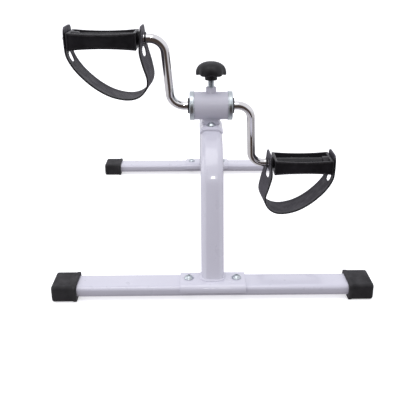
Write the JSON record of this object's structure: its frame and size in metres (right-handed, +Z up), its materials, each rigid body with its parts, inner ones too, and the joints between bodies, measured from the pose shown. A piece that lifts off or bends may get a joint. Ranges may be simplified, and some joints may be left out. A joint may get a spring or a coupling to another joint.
{
  "type": "pedal exerciser",
  "caption": "Floor-standing pedal exerciser: arched column on two stabilisers, braked cranked axle, strapped pedals and a tension knob.",
  "frame": {"origin": "on the floor, midway between the four feet", "axes": "+Z up, +X to the right seen from the front stabiliser, +Y from the front stabiliser to the rear one"},
  "size_m": [0.4, 0.523, 0.3218],
  "materials": {
    "frame_paint": "satin powder coat, pale lilac white",
    "foot_rubber": "matte moulded rubber",
    "zinc": "bright zinc plate",
    "chrome": "bright chrome plate",
    "black_plastic": "moulded, slight sheen",
    "strap_rubber": "finely ribbed",
    "nylon": "natural nylon"
  },
  "bodies": {
    "frame": {"front_stabiliser_tube": "frame_paint", "rear_stabiliser_tube": "frame_paint", "front_left_foot": "foot_rubber", "front_right_foot": "foot_rubber", "rear_left_foot": "foot_rubber", "rear_right_foot": "foot_rubber", "front_saddle_plate": "frame_paint", "rear_saddle_plate": "frame_paint", "front_left_bolt": "zinc", "front_right_bolt": "zinc", "rear_left_bolt": "zinc", "rear_right_bolt": "zinc", "front_left_nut": "zinc", "front_right_nut": "zinc", "rear_left_nut": "zinc", "rear_right_nut": "zinc", "column_tube": "frame_paint", "hub_bracket": "frame_paint", "hub_cradle": "frame_paint", "hub_front_bolt": "zinc", "hub_rear_bolt": "zinc", "hub_front_weld_nut": "zinc", "hub_rear_weld_nut": "zinc", "hub_barrel": "frame_paint", "left_bearing_cup": "zinc", "right_bearing_cup": "zinc", "left_bush": "black_plastic", "right_bush": "black_plastic", "tension_nut": "frame_paint"},
    "brake_shoe": {"brake_shoe": "nylon"},
    "tension_knob": {"tension_knob": "black_plastic", "tension_stud": "zinc"},
    "crank": {"crank": "chrome", "left_spindle_collar": "black_plastic", "right_spindle_collar": "black_plastic", "left_push_nut": "zinc", "right_push_nut": "zinc"},
    "left_pedal": {"left_pedal": "black_plastic", "left_end_plug": "black_plastic", "left_strap": "strap_rubber"},
    "right_pedal": {"right_pedal": "black_plastic", "right_end_plug": "black_plastic", "right_strap": "strap_rubber"}
  },
  "joints": [
    {"name": "crank_spin", "type": "hinge", "parent": "frame", "child": "crank", "pos_m": [0, -0.129, 0.217], "axis": [1, 0, 0], "continuous": true},
    {"name": "left_pedal_spin", "type": "hinge", "parent": "crank", "child": "left_pedal", "pos_m": [-0.13, -0.16309, 0.30674], "axis": [1, 0, 0], "continuous": true},
    {"name": "right_pedal_spin", "type": "hinge", "parent": "crank", "child": "right_pedal", "pos_m": [0.13, -0.09491, 0.12726], "axis": [1, 0, 0], "continuous": true},
    {"name": "tension_slide", "type": "slide", "parent": "frame", "child": "brake_shoe", "axis": [0, 0, 1], "range_m": [-0.00104, 0.00187]},
    {"name": "knob_turn", "type": "hinge", "parent": "brake_shoe", "child": "tension_knob", "pos_m": [0, -0.129, 0.26], "axis": [0, 0, 1], "range_deg": [-300, 540]}
  ],
  "couplings": [
    {"joint": "knob_turn", "follows": "tension_slide", "rad_per_m": 5026.5}
  ]
}
